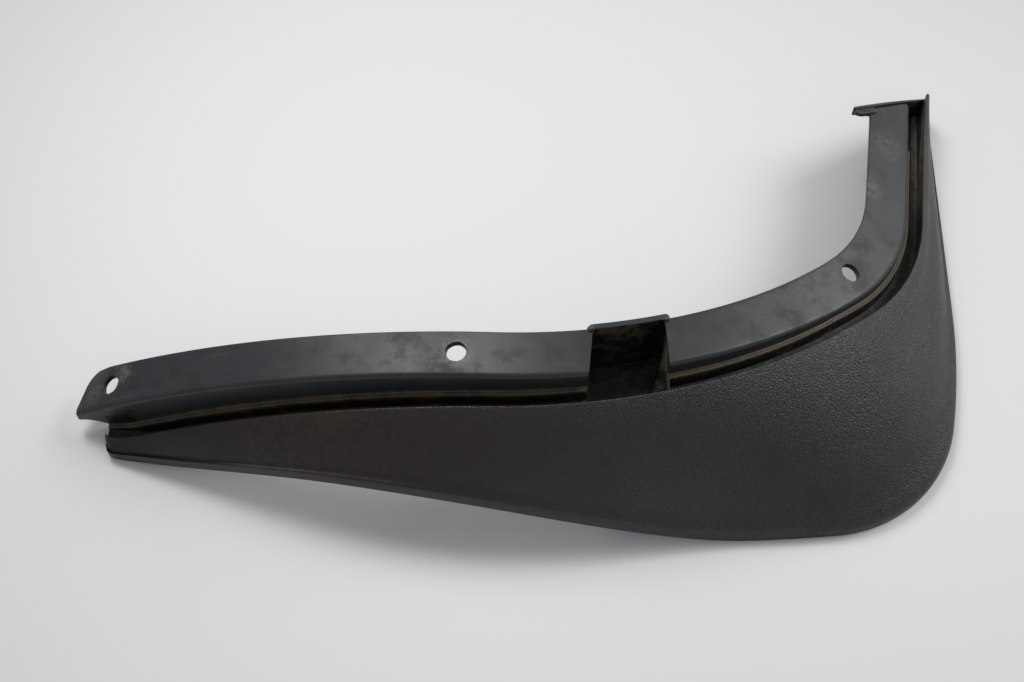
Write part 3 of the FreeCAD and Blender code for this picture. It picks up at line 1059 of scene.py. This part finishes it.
class Nodes:
    """Adds nodes to one node tree and links them."""

    def __init__(self, tree: bpy.types.NodeTree) -> None:
        """Clears the tree.

        Args:
            tree: The node tree to fill.
        """
        self.tree = tree
        self.tree.nodes.clear()

    @classmethod
    def of(cls, material: bpy.types.Material) -> "Nodes":
        """The nodes of a material."""
        material.use_nodes = True
        return cls(material.node_tree)

    def add(self, kind: str, inputs: dict | None = None, **settings) -> bpy.types.Node:
        """Adds a node.

        Args:
            kind: The node's type name.
            inputs: Values or sockets for its inputs, by name or number.
            settings: Values for its properties.

        Returns:
            The new node.
        """
        node = self.tree.nodes.new(kind)
        for name, value in settings.items():
            setattr(node, name, value)
        for name, value in (inputs or {}).items():
            if isinstance(value, bpy.types.NodeSocket):
                self.tree.links.new(value, node.inputs[name])
            else:
                node.inputs[name].default_value = value
        return node

    def math(self, operation: str, first, second) -> bpy.types.NodeSocket:
        """One sum on two values."""
        return self.add("ShaderNodeMath", {0: first, 1: second}, operation=operation).outputs[0]

    def product(self, first, *others) -> bpy.types.NodeSocket:
        """All values multiplied."""
        for other in others:
            first = self.math("MULTIPLY", first, other)
        return first

    def fade(self, value, limits: Pair) -> bpy.types.NodeSocket:
        """A value that goes smoothly from 0 at the first limit to 1 at the second."""
        inputs = {"Value": value, "From Min": limits[0], "From Max": limits[1]}
        return self.add("ShaderNodeMapRange", inputs, interpolation_type="SMOOTHSTEP").outputs[0]

    def within(self, value, band: Band) -> bpy.types.NodeSocket:
        """A mask that is 1 inside a band, with soft ends."""
        rising = self.fade(value, (band.low - band.soft, band.low + band.soft))
        falling = self.fade(value, (band.high + band.soft, band.high - band.soft))
        return self.product(rising, falling)

    def noise(self, where, pattern: Noise) -> bpy.types.NodeSocket:
        """A noise pattern's values."""
        inputs = {
            "Vector": where, "Scale": pattern.scale, "Detail": pattern.detail, "Roughness": pattern.rough,
        }
        return self.add("ShaderNodeTexNoise", inputs).outputs["Fac"]

    def mix(self, share, first, second) -> bpy.types.NodeSocket:
        """A colour between two colours."""
        return self.add("ShaderNodeMix", {0: share, 6: first, 7: second}, data_type="RGBA").outputs[2]

    def blend(self, share, first, second) -> bpy.types.NodeSocket:
        """A number between two numbers."""
        return self.add("ShaderNodeMix", {0: share, 2: first, 3: second}, data_type="FLOAT").outputs[0]

    def surface(self, **inputs) -> None:
        """Ends a material's tree with one plain surface.

        Args:
            inputs: Values or sockets of the surface, with underscores for spaces in their names.
        """
        named = {name.replace("_", " "): value for name, value in inputs.items()}
        shader = self.add("ShaderNodeBsdfPrincipled", named)
        self.add("ShaderNodeOutputMaterial", {"Surface": shader.outputs[0]})


@dataclass(frozen=True)
class BlackPlastic:
    """Finish of the moulding: satin flange, grained show face, dirt in the channel, and painted shade in
    the slot, the pocket, the grain's hollows and the rim's roll.
    """

    # Colours
    satin: Colour = (0.022, 0.0245, 0.029, 1.0)
    grained_left: Colour = (0.0072, 0.0064, 0.0055, 1.0)
    grained_right: Colour = (0.026, 0.0255, 0.0258, 1.0)
    stained: Colour = (0.024, 0.0135, 0.009, 1.0)
    dirt: Colour = (0.072, 0.049, 0.024, 1.0)
    pale: Colour = (0.16, 0.155, 0.15, 1.0)
    smudge: Colour = (0.008, 0.008, 0.008, 1.0)
    rust: Colour = (0.034, 0.018, 0.0105, 1.0)
    olive: Colour = (0.105, 0.078, 0.040, 1.0)
    # Near-black painted shade, for the deep slot, the pocket, the grain's hollows and the rim's roll
    painted_shade: Colour = (0.006, 0.005, 0.0035, 1.0)
    tan: Colour = (0.20, 0.175, 0.145, 1.0)

    # Where each finish lies on the section
    show_band: Band = Band(Zone.RIDGE_SIDE.at(0.95), Zone.UNDER.at(0.0), 0.06)
    channel_band: Band = Band(Zone.LEDGE.at(0.1), Zone.RIDGE_SIDE.at(0.6), 0.3)
    pocket_band: Band = Band(Zone.POCKET.at(0.2), Zone.POCKET.at(0.8), 0.1)
    # Painted shade deep in the slot
    slot_shade_band: Band = Band(Zone.SLOT_SIDE.at(0.3), Zone.RIDGE_SIDE.at(0.8), 0.15)
    shelf_band: Band = Band(Zone.WALL.at(0.85), Zone.SLOT_SIDE.at(0.15), 0.08)
    arm_band: Band = Band(Zone.SLOT_FLOOR.at(0.4), Zone.RIDGE_SIDE.at(0.9), 0.1)
    # Painted shade on the rim's roll, where it turns down
    rim_shade_band: Band = Band(Zone.LIP.at(0.02), Zone.UNDER.at(0.0), 0.06)
    flange_fade: Pair = (Zone.WALL.at(0.4), Zone.WALL.at(-0.2))
    right_fade: Pair = (-0.10, 0.05)
    arm_fade: Pair = (0.395, 0.445)

    # Noise patterns, with the values between which each sets in
    cloud: Noise = Noise(34.0, 5.0, 0.6)
    patch: Noise = Noise(120.0, 6.0, 0.65)
    speck: Noise = Noise(900.0, 3.0)
    stain: Noise = Noise(55.0, 4.0)
    scuff: Noise = Noise(260.0, 8.0, 0.7)
    streak: Noise = Noise(1.0, 4.0, 0.6)
    mottle: Noise = Noise(85.0, 7.0, 0.68)
    scratch: Noise = Noise(480.0, 7.0, 0.7)
    fine: Noise = Noise(2200.0, 2.0)
    dirt_fade: Pair = (0.36, 0.62)
    dust_fade: Pair = (0.45, 0.75)
    stain_fade: Pair = (0.5, 0.7)
    scuff_fade: Pair = (0.66, 0.76)
    # Patches of painted shade in the slot
    slot_shade_fade: Pair = (0.66, 0.50)
    shelf_fade: Pair = (0.28, 0.58)
    streak_fade: Pair = (0.55, 0.78)
    mottle_fade: Pair = (0.47, 0.66)
    scratch_fade: Pair = (0.38, 0.62)
    # Patches of painted shade in the pocket
    pocket_shade_fade: Pair = (0.60, 0.44)
    tan_fade: Pair = (0.30, 0.52)
    # Painted shade between the grain's pebbles
    pit_shade_fade: Pair = (0.25, 0.75)
    streak_stretch: tuple[float, float, float] = (22.0, 420.0, 60.0)

    # How strong each layer is
    dirt_share: float = 0.75
    dust_share: float = 0.16
    show_dirt: float = 0.25
    stain_share: float = 0.6
    scuff_share: float = 0.35
    show_scuff: float = 0.2
    # Strength of the painted shade in the slot
    slot_shade_share: float = 0.92
    shelf_share: float = 0.75
    streak_share: float = 0.16
    mottle_share: float = 0.62
    # Strength of the painted shade in the pocket
    pocket_shade_share: float = 0.9
    tan_share: float = 0.85
    # Strength of the painted shade between the grain's pebbles
    pit_shade_share: float = 0.55
    # Strength of the painted shade on the rim's roll
    rim_shade_share: float = 0.7
    wear_core: float = 0.45
    hole_edge: Pair = (0.9, 1.1)

    # Sheen and relief
    satin_rough: float = 0.40
    show_rough: float = 0.42
    dirt_rough: float = 0.85
    cloud_rough: float = 0.22
    mottle_rough: float = 0.10
    grain_scale: float = 1750.0
    grain_depth: float = 0.00034
    grain_left: float = 0.35
    fine_share: float = 0.08
    crust_share: float = 0.9
    refraction: float = 1.5

    def build(self, wear: list[tuple[Wear, Vector]]) -> bpy.types.Material:
        """Makes the material.

        Args:
            wear: Worn spots with their places.

        Returns:
            The node-based material.
        """
        material = bpy.data.materials.new(SLOT)
        layers = PlasticLayers(self, Nodes.of(material))
        colour = layers.base()
        colour = layers.slot_shade_and_ledge_dirt(colour)
        colour = layers.flange_marks(colour)
        colour = layers.worn(colour, wear)
        colour = layers.pocket_shade(colour)
        colour = layers.arm_slot(colour)
        colour = layers.pit_and_rim_shade(colour)
        layers.nodes.surface(Base_Color=colour, Roughness=layers.roughness(), Normal=layers.relief(),
                             IOR=self.refraction)
        return material


class PlasticLayers:
    """The layers of the black plastic, from the bare moulding up to its wear."""

    def __init__(self, finish: BlackPlastic, nodes: Nodes) -> None:
        """Lays out the masks and the noise that several layers share.

        Args:
            finish: The finish's values.
            nodes: The material's nodes.
        """
        self.finish = finish
        self.nodes = nodes
        self.where = nodes.add("ShaderNodeTexCoord").outputs["Object"]
        strip = nodes.add("ShaderNodeUVMap", uv_map=STRIP_MAP).outputs["UV"]
        split = nodes.add("ShaderNodeSeparateXYZ", {"Vector": strip})
        self.along = split.outputs["X"]
        self.zone = split.outputs["Y"]
        x = nodes.add("ShaderNodeSeparateXYZ", {"Vector": self.where}).outputs["X"]
        self.right = nodes.fade(x, finish.right_fade)
        self.show = nodes.within(self.zone, finish.show_band)
        self.flange = nodes.fade(self.zone, finish.flange_fade)
        self.pocket = nodes.within(self.zone, finish.pocket_band)
        self.cloud = nodes.noise(self.where, finish.cloud)
        self.patch = nodes.noise(self.where, finish.patch)
        mottle = nodes.fade(nodes.noise(self.where, finish.mottle), finish.mottle_fade)
        self.mottle = nodes.product(mottle, self.flange)
        self.dirty = self.dirt_mask()
        pebble = {"Vector": self.where, "Scale": finish.grain_scale}
        self.pebble = nodes.add("ShaderNodeTexVoronoi", pebble, feature="SMOOTH_F1").outputs["Distance"]

    def dirt_mask(self) -> bpy.types.NodeSocket:
        """Where dirt lies: thick in the channel and the pocket, thin dust elsewhere."""
        finish = self.finish
        nodes = self.nodes
        channel = nodes.within(self.zone, finish.channel_band)
        hollow = nodes.math("MAXIMUM", channel, self.pocket)
        thick = nodes.product(hollow, nodes.fade(self.patch, finish.dirt_fade), finish.dirt_share)
        dust = nodes.product(nodes.fade(self.cloud, finish.dust_fade), finish.dust_share)
        return nodes.math("MAXIMUM", thick, dust)

    def base(self) -> bpy.types.NodeSocket:
        """Bare plastic with stains on the show face, dirt and pale scuffs."""
        finish = self.finish
        nodes = self.nodes
        grained = nodes.mix(self.right, finish.grained_left, finish.grained_right)
        colour = nodes.mix(self.show, finish.satin, grained)
        stain = nodes.fade(nodes.noise(self.where, finish.stain), finish.stain_fade)
        colour = nodes.mix(nodes.product(self.show, stain, finish.stain_share), colour, finish.stained)
        dirt = nodes.product(self.dirty, nodes.blend(self.show, 1.0, finish.show_dirt))
        colour = nodes.mix(dirt, colour, finish.dirt)
        scuff = nodes.fade(nodes.noise(self.where, finish.scuff), finish.scuff_fade)
        scuff = nodes.product(scuff, finish.scuff_share, nodes.blend(self.show, 1.0, finish.show_scuff))
        return nodes.mix(scuff, colour, finish.pale)

    def slot_shade_and_ledge_dirt(self, colour: bpy.types.NodeSocket) -> bpy.types.NodeSocket:
        """Painted shade, near black, deep in the slot, and dry dirt on the ledge."""
        finish = self.finish
        nodes = self.nodes
        # Painted shade deep in the slot
        slot_shade = nodes.within(self.zone, finish.slot_shade_band)
        slot_shade = nodes.product(slot_shade, nodes.fade(self.patch, finish.slot_shade_fade), finish.slot_shade_share)
        colour = nodes.mix(slot_shade, colour, finish.painted_shade)
        shelf = nodes.within(self.zone, finish.shelf_band)
        shelf = nodes.product(shelf, nodes.fade(self.patch, finish.shelf_fade), finish.shelf_share)
        return nodes.mix(shelf, colour, finish.olive)

    def flange_marks(self, colour: bpy.types.NodeSocket) -> bpy.types.NodeSocket:
        """Fine pale streaks and dark mottling on the flange."""
        finish = self.finish
        nodes = self.nodes
        stretched = {"Vector": self.where, "Scale": finish.streak_stretch}
        lines = nodes.add("ShaderNodeMapping", stretched).outputs[0]
        streak = nodes.fade(nodes.noise(lines, finish.streak), finish.streak_fade)
        colour = nodes.mix(nodes.product(streak, finish.streak_share, self.flange), colour, finish.pale)
        return nodes.mix(nodes.product(self.mottle, finish.mottle_share), colour, finish.smudge)

    def worn(self, colour: bpy.types.NodeSocket, wear: list[tuple[Wear, Vector]]) -> bpy.types.NodeSocket:
        """Single worn spots, broken up by scratches.

        Args:
            colour: The colour so far.
            wear: Worn spots with their places.

        Returns:
            The colour with the spots.
        """
        finish = self.finish
        nodes = self.nodes
        scratch = nodes.fade(nodes.noise(self.where, finish.scratch), finish.scratch_fade)
        tints = {WearKind.PALE: finish.pale, WearKind.SMUDGE: finish.smudge, WearKind.STAIN: finish.rust}
        for spot, place in wear:
            ends = {0: self.where, 1: place}
            gap = nodes.add("ShaderNodeVectorMath", ends, operation="DISTANCE").outputs["Value"]
            near = nodes.fade(gap, (spot.outer, spot.outer * finish.wear_core))
            if spot.inner:
                edge = (spot.inner * finish.hole_edge[0], spot.inner * finish.hole_edge[1])
                near = nodes.product(near, nodes.fade(gap, edge))
            face = self.show if spot.kind is WearKind.STAIN else self.flange
            share = nodes.product(near, face, scratch, spot.strength)
            colour = nodes.mix(share, colour, tints[spot.kind])
        return colour

    def pocket_shade(self, colour: bpy.types.NodeSocket) -> bpy.types.NodeSocket:
        """Painted shade, near black, in patches inside the pocket."""
        finish = self.finish
        nodes = self.nodes
        painted_shade = nodes.product(self.pocket, nodes.fade(self.patch, finish.pocket_shade_fade), finish.pocket_shade_share)
        return nodes.mix(painted_shade, colour, finish.painted_shade)

    def arm_slot(self, colour: bpy.types.NodeSocket) -> bpy.types.NodeSocket:
        """Dry tan dirt on the slot's outer side along the arm."""
        finish = self.finish
        nodes = self.nodes
        side = nodes.within(self.zone, finish.arm_band)
        side = nodes.product(side, nodes.fade(self.along, finish.arm_fade))
        side = nodes.product(side, nodes.fade(self.patch, finish.tan_fade), finish.tan_share)
        return nodes.mix(side, colour, finish.tan)

    def pit_and_rim_shade(self, colour: bpy.types.NodeSocket) -> bpy.types.NodeSocket:
        """Painted shade in the hollows between the pebbles of the grain, and painted shade on the roll of
        the rim.
        """
        finish = self.finish
        nodes = self.nodes
        # Painted shade between the grain's pebbles, on the right of the show face
        pit_shade = nodes.fade(self.pebble, finish.pit_shade_fade)
        pit_shade = nodes.product(pit_shade, nodes.product(self.show, self.right), finish.pit_shade_share)
        colour = nodes.mix(pit_shade, colour, finish.painted_shade)
        # Painted shade on the rim's roll
        roll = nodes.product(nodes.within(self.zone, finish.rim_shade_band), finish.rim_shade_share)
        return nodes.mix(roll, colour, finish.painted_shade)

    def roughness(self) -> bpy.types.NodeSocket:
        """Satin flange and duller show face, cloudy, and dull where dirt lies."""
        finish = self.finish
        nodes = self.nodes
        rough = nodes.blend(self.show, finish.satin_rough, finish.show_rough)
        cloudy = nodes.product(nodes.math("SUBTRACT", self.cloud, 0.5), finish.cloud_rough)
        rough = nodes.math("ADD", rough, cloudy)
        rough = nodes.math("ADD", rough, nodes.product(self.mottle, finish.mottle_rough))
        return nodes.blend(self.dirty, rough, finish.dirt_rough)

    def relief(self) -> bpy.types.NodeSocket:
        """Pebbled grain on the show face, a fine texture everywhere and crusted dirt."""
        finish = self.finish
        nodes = self.nodes
        raised = nodes.math("SUBTRACT", 1.0, self.pebble)
        spread = nodes.product(self.show, nodes.blend(self.right, finish.grain_left, 1.0))
        grain = nodes.product(raised, spread)
        fine = nodes.product(nodes.noise(self.where, finish.fine), finish.fine_share)
        speck = nodes.noise(self.where, finish.speck)
        crust = nodes.product(self.dirty, speck, finish.crust_share)
        height = nodes.math("ADD", nodes.math("ADD", grain, fine), crust)
        inputs = {"Height": height, "Distance": finish.grain_depth, "Strength": 1.0}
        return nodes.add("ShaderNodeBump", inputs).outputs["Normal"]


@dataclass(frozen=True)
class DriedDirt:
    """Finish of the loose crumbs of dried dirt."""

    dark: Colour = (0.055, 0.037, 0.019, 1.0)
    light: Colour = (0.15, 0.112, 0.070, 1.0)
    shade: Noise = Noise(240.0, 3.0)
    shade_fade: Pair = (0.35, 0.65)
    rough: float = 0.92

    def build(self) -> bpy.types.Material:
        """Makes the material."""
        material = bpy.data.materials.new("dried_dirt")
        nodes = Nodes.of(material)
        where = nodes.add("ShaderNodeTexCoord").outputs["Object"]
        shade = nodes.fade(nodes.noise(where, self.shade), self.shade_fade)
        nodes.surface(Base_Color=nodes.mix(shade, self.dark, self.light), Roughness=self.rough)
        return material


@dataclass(frozen=True)
class CrumbScatter:
    """Crumbs of dried dirt on the slot's and the pocket's floor, scattered by a node group."""

    density: float = 105000.0
    radius: float = 0.00032
    seed: int = 7
    level: float = 0.75
    smallest: tuple[float, float, float] = (0.35, 0.35, 0.25)
    largest: tuple[float, float, float] = (1.5, 1.3, 0.8)
    slot_limits: Pair = (Zone.SLOT_FLOOR.at(0.0), Zone.RIDGE_SIDE.at(0.0))
    pocket_limits: Pair = (Zone.POCKET.at(0.3), Zone.END.at(0.5))

    def floor(self, nodes: Nodes) -> bpy.types.NodeSocket:
        """Selects the level faces of the slot's and the pocket's floor."""
        strip = nodes.add("GeometryNodeInputNamedAttribute", {"Name": STRIP_MAP}, data_type="FLOAT_VECTOR")
        zone = nodes.add("ShaderNodeSeparateXYZ", {0: strip.outputs[0]}).outputs["Y"]
        facing = nodes.add("GeometryNodeInputNormal").outputs[0]
        upward = nodes.add("ShaderNodeSeparateXYZ", {0: facing}).outputs["Z"]
        floors = []
        for low, high in (self.slot_limits, self.pocket_limits):
            over = nodes.math("GREATER_THAN", zone, low)
            floors.append(nodes.product(over, nodes.math("LESS_THAN", zone, high)))
        level = nodes.math("GREATER_THAN", upward, self.level)
        return nodes.product(nodes.math("MAXIMUM", *floors), level)

    def group(self) -> bpy.types.NodeTree:
        """Makes the node group: points on level channel faces, a crumb on each, then one mesh."""
        tree = bpy.data.node_groups.new("dirt_crumbs", "GeometryNodeTree")
        sockets = {"Geometry": "Geometry", "Density": "Float", "Crumb Radius": "Float", "Seed": "Int",
                   "Material": "Material"}
        for name, kind in sockets.items():
            tree.interface.new_socket(name, in_out="INPUT", socket_type=f"NodeSocket{kind}")
        tree.interface.new_socket("Geometry", in_out="OUTPUT", socket_type="NodeSocketGeometry")
        nodes = Nodes(tree)
        given = nodes.add("NodeGroupInput").outputs
        points = nodes.add("GeometryNodeDistributePointsOnFaces", {
            "Mesh": given["Geometry"], "Selection": self.floor(nodes), "Density": given["Density"],
            "Seed": given["Seed"],
        })
        crumb = nodes.add("GeometryNodeMeshIcoSphere", {"Radius": given["Crumb Radius"], "Subdivisions": 2})
        sizes = {0: self.smallest, 1: self.largest}
        size = nodes.add("FunctionNodeRandomValue", sizes, data_type="FLOAT_VECTOR")
        spread = nodes.add("GeometryNodeInstanceOnPoints", {
            "Points": points.outputs["Points"], "Instance": crumb.outputs["Mesh"],
            "Rotation": points.outputs["Rotation"], "Scale": size.outputs[0],
        })
        joined = nodes.add("GeometryNodeRealizeInstances", {"Geometry": spread.outputs[0]})
        finish = {"Geometry": joined.outputs[0], "Material": given["Material"]}
        painted = nodes.add("GeometryNodeSetMaterial", finish)
        nodes.add("NodeGroupOutput", {"Geometry": painted.outputs[0]})
        return tree

    def build(self, piece: bpy.types.Object) -> bpy.types.Object:
        """Scatters the crumbs.

        Args:
            piece: The finished mudguard.

        Returns:
            The crumbs as one plain mesh object.
        """
        carrier = bpy.data.objects.new("dirt_crumbs", piece.data)
        bpy.context.scene.collection.objects.link(carrier)
        tree = self.group()
        scatter = carrier.modifiers.new("scatter", "NODES")
        scatter.node_group = tree
        values = {"Density": self.density, "Crumb Radius": self.radius, "Seed": self.seed,
                  "Material": DriedDirt().build()}
        for item in tree.interface.items_tree:
            if item.in_out == "INPUT" and item.name in values:
                scatter[item.identifier] = values[item.name]
        bpy.context.view_layer.update()
        shown = carrier.evaluated_get(bpy.context.evaluated_depsgraph_get())
        data = bpy.data.meshes.new_from_object(shown)
        carrier.modifiers.remove(scatter)
        carrier.data = data
        data.shade_smooth()
        return carrier


@dataclass(frozen=True)
class Table:
    """The pale table that the mudguard lies on."""

    colour: Colour = (0.86, 0.865, 0.872, 1.0)
    rough: float = 0.5
    half: float = 3.0

    def build(self) -> bpy.types.Object:
        """Makes the floor and stages it."""
        material = bpy.data.materials.new("table_white")
        Nodes.of(material).surface(Base_Color=self.colour, Roughness=self.rough)
        data = bpy.data.meshes.new("table")
        half = self.half
        corners = [(-half, -half, 0), (half, -half, 0), (half, half, 0), (-half, half, 0)]
        data.from_pydata(corners, [], [(0, 1, 2, 3)])
        data.materials.append(material)
        floor = bpy.data.objects.new("table", data)
        bpy.context.scene.collection.objects.link(floor)
        return floor


@dataclass(frozen=True)
class Window:
    """One soft window light."""

    name: str
    place: tuple[float, float, float]
    size: Pair
    power: float
    spread: float = 60.0

    def build(self, target: Vector) -> None:
        """Hangs the light and turns it to a point.

        Args:
            target: The point that the light faces.
        """
        lamp = bpy.data.lights.new(self.name, "AREA")
        lamp.shape = "RECTANGLE"
        lamp.size, lamp.size_y = self.size
        lamp.energy = self.power
        lamp.spread = math.radians(self.spread)
        light = bpy.data.objects.new(self.name, lamp)
        light.location = self.place
        light.rotation_euler = (target - light.location).to_track_quat("-Z", "Y").to_euler()
        bpy.context.scene.collection.objects.link(light)


@dataclass(frozen=True)
class View:
    """Camera and light, at the photograph's angle."""

    target: tuple[float, float, float] = (-0.0089, -0.0154, 0.0)
    elevation: float = 60.0
    distance: float = 0.600
    lens: float = 47.46
    sensor: float = 36.0
    clip_start: float = 0.01
    sky: Colour = (0.95, 0.975, 1.0, 1.0)
    sky_power: float = 0.34
    windows: tuple[Window, ...] = (
        Window("left_window", (-0.30, 0.50, 0.88), (0.40, 0.5), 0.60),
        Window("right_window", (0.92, 0.34, 0.74), (0.60, 0.6), 0.90),
    )

    def build(self) -> None:
        """Places the camera, the window light and the sky."""
        scene = bpy.context.scene
        target = Vector(self.target)
        data = bpy.data.cameras.new("camera")
        data.lens = self.lens
        data.sensor_width = self.sensor
        data.sensor_fit = "HORIZONTAL"
        data.clip_start = self.clip_start
        camera = bpy.data.objects.new("camera", data)
        tilt = math.radians(self.elevation)
        camera.location = target + Vector((0.0, -math.cos(tilt), math.sin(tilt))) * self.distance
        camera.rotation_euler = (math.pi / 2 - tilt, 0.0, 0.0)
        scene.collection.objects.link(camera)
        scene.camera = camera
        for window in self.windows:
            window.build(target)
        world = bpy.data.worlds.new("sky")
        world.use_nodes = True
        background = world.node_tree.nodes["Background"]
        background.inputs["Color"].default_value = self.sky
        background.inputs["Strength"].default_value = self.sky_power
        scene.world = world
        scene.view_settings.view_transform = "Standard"


def main() -> None:
    """Builds the object, its finish, the stage and the view."""
    logging.basicConfig(level=logging.INFO)
    guard = Mudguard(Sizes(), frame["record"]["mounts"])
    piece = guard.build()
    piece.data.materials.clear()
    piece.data.materials.append(BlackPlastic().build(guard.wear()))
    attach(piece, BODY)
    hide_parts(NODE)
    crumbs = CrumbScatter().build(piece)
    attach(crumbs, BODY)
    for made in (piece, crumbs):
        log.info("%s triangles: %d", made.name, sum(len(face.vertices) - 2 for face in made.data.polygons))
    Table().build()
    View().build()


if __name__ == "__main__":
    main()
